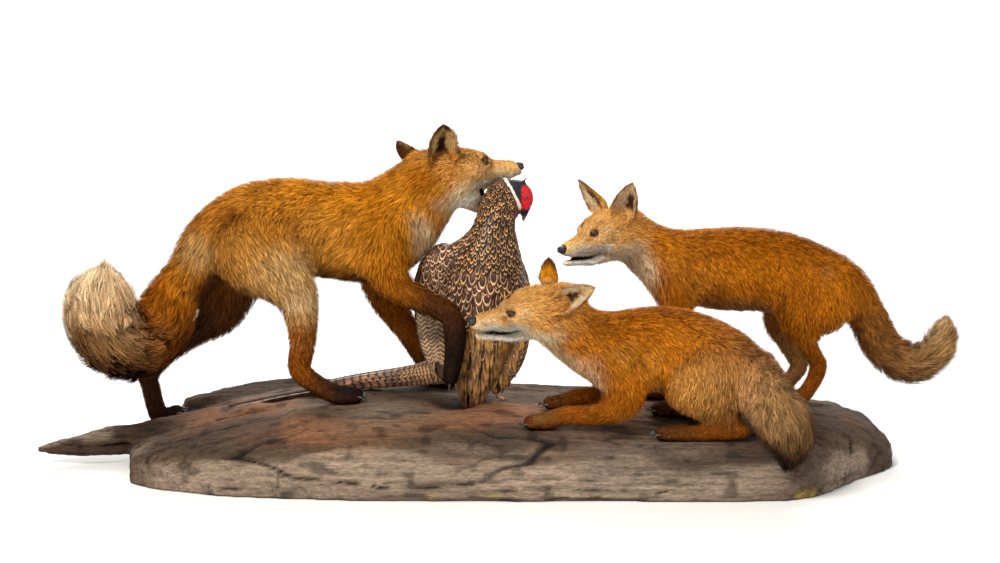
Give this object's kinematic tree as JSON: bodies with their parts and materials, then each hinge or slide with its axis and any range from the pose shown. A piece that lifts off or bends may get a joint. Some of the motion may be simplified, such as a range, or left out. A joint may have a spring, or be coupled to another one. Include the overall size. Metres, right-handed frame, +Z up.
{
  "type": "taxidermy fox group on a driftwood base",
  "caption": "Mounted adult red fox gripping a cock pheasant by the neck, young foxes closing in on it, all fixed in one pose on a weathered driftwood slab.",
  "frame": {"origin": "middle of the driftwood base's flat underside, under the group", "axes": "+X from the adult's tail towards its nose, along the wood; +Y towards the far side, away from the viewer; +Z up"},
  "size_m": [1.706, 0.5156, 0.6283],
  "materials": {
    "adult_fur": "tan to russet fur, pale throat, dark stockings",
    "young_fur": "orange fur with white cheeks and throat",
    "plumage": "scaled brown and cream feathers, slightly glossy",
    "weathered_wood": "bare, grey-brown, cracked and matt",
    "eye_glass": "dark brown, polished",
    "nose_leather": "black, damp-looking"
  },
  "bodies": {
    "root": {"head": "adult_fur", "lower_jaw": "adult_fur", "neck": "adult_fur", "trunk": "adult_fur", "tail": "adult_fur", "foreleg_right": "adult_fur", "foreleg_left": "adult_fur", "hind_leg_right": "adult_fur", "hind_leg_left": "adult_fur", "ear_right": "adult_fur", "ear_left": "adult_fur", "eye_right": "eye_glass", "eye_left": "eye_glass", "nose": "nose_leather", "young_fox_crouching": "young_fur", "young_fox_standing": "young_fur", "pheasant": "plumage", "log": "weathered_wood"}
  },
  "joints": []
}
